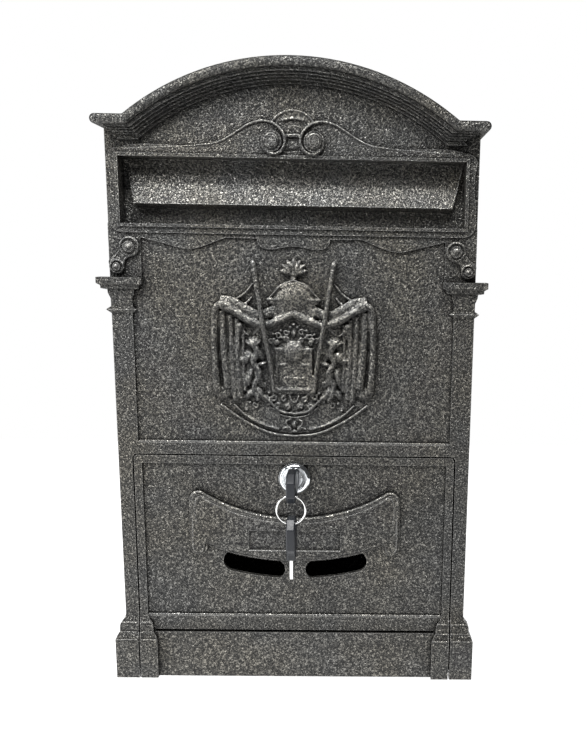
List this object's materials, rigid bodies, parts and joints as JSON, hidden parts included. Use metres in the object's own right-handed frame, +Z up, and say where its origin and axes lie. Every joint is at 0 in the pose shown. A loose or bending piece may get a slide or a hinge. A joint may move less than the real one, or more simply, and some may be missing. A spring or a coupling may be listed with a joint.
{
  "type": "wall mounted mailbox",
  "caption": "Wall mounted letterbox with an arched cast front, a sprung letter flap and a keyed drop-down door with view slots.",
  "frame": {"origin": "middle of the four wall screw holes, on the back face that lies against the wall", "axes": "+X to the viewer's right, +Y into the wall, +Z up; the front faces -Y"},
  "size_m": [0.2518, 0.1146, 0.4126],
  "materials": {
    "hammered_paint": "dark bronze-black hammered powder coat with pale gold flecks",
    "zinc_steel": "zinc plated",
    "lock_chrome": "bright plated",
    "key_steel": "nickel plated",
    "key_plastic": "black moulded"
  },
  "bodies": {
    "case": {"front_casting": "hammered_paint", "roof": "hammered_paint", "right_side_panel": "hammered_paint", "left_side_panel": "hammered_paint", "back_plate": "hammered_paint", "bottom_plate": "hammered_paint", "front_screws": "zinc_steel", "roof_screws": "zinc_steel", "back_screws": "zinc_steel", "back_nuts": "zinc_steel", "bottom_rivets": "zinc_steel", "emblem_relief": "hammered_paint", "emblem_push_nuts": "zinc_steel", "flap_hinge_rod": "zinc_steel", "right_flap_spring": "zinc_steel", "left_flap_spring": "zinc_steel", "right_hinge_pin": "zinc_steel", "left_hinge_pin": "zinc_steel"},
    "letter_flap": {"slot_flap": "hammered_paint"},
    "door": {"door": "hammered_paint", "lock_housing": "lock_chrome", "lock_washer": "zinc_steel", "lock_nut": "zinc_steel"},
    "lock_cylinder": {"lock_plug": "lock_chrome", "lock_cam": "zinc_steel", "cam_screw": "zinc_steel"},
    "key": {"key_blade": "key_steel", "key_head": "key_plastic"},
    "ring": {"key_ring": "key_steel"},
    "spare_key": {"spare_key_blade": "key_steel", "spare_key_head": "key_plastic"}
  },
  "joints": [
    {"name": "flap_swing", "type": "hinge", "parent": "case", "child": "letter_flap", "pos_m": [0, -0.0611, 0.1518], "axis": [1, 0, 0], "range_deg": [0, 60], "stiffness_Nm_per_rad": 0.02, "springref_deg": -20.05, "deforming": ["right_flap_spring", "left_flap_spring"]},
    {"name": "door_drop", "type": "hinge", "parent": "case", "child": "door", "pos_m": [0, -0.077, -0.2015], "axis": [1, 0, 0], "range_deg": [0, 100]},
    {"name": "lock_turn", "type": "hinge", "parent": "door", "child": "lock_cylinder", "pos_m": [0, -0.066, -0.06], "axis": [0, 1, 0], "range_deg": [0, 90]},
    {"name": "key_pull", "type": "slide", "parent": "lock_cylinder", "child": "key", "axis": [0, -1, 0], "range_m": [0, 0.014]},
    {"name": "ring_swing", "type": "hinge", "parent": "key", "child": "ring", "pos_m": [0, -0.1076, -0.0645], "axis": [1, 0, 0], "range_deg": [-45, 12]},
    {"name": "spare_key_swing", "type": "hinge", "parent": "ring", "child": "spare_key", "pos_m": [0, -0.1076, -0.0833], "axis": [1, 0, 0], "range_deg": [-45, 8]}
  ]
}
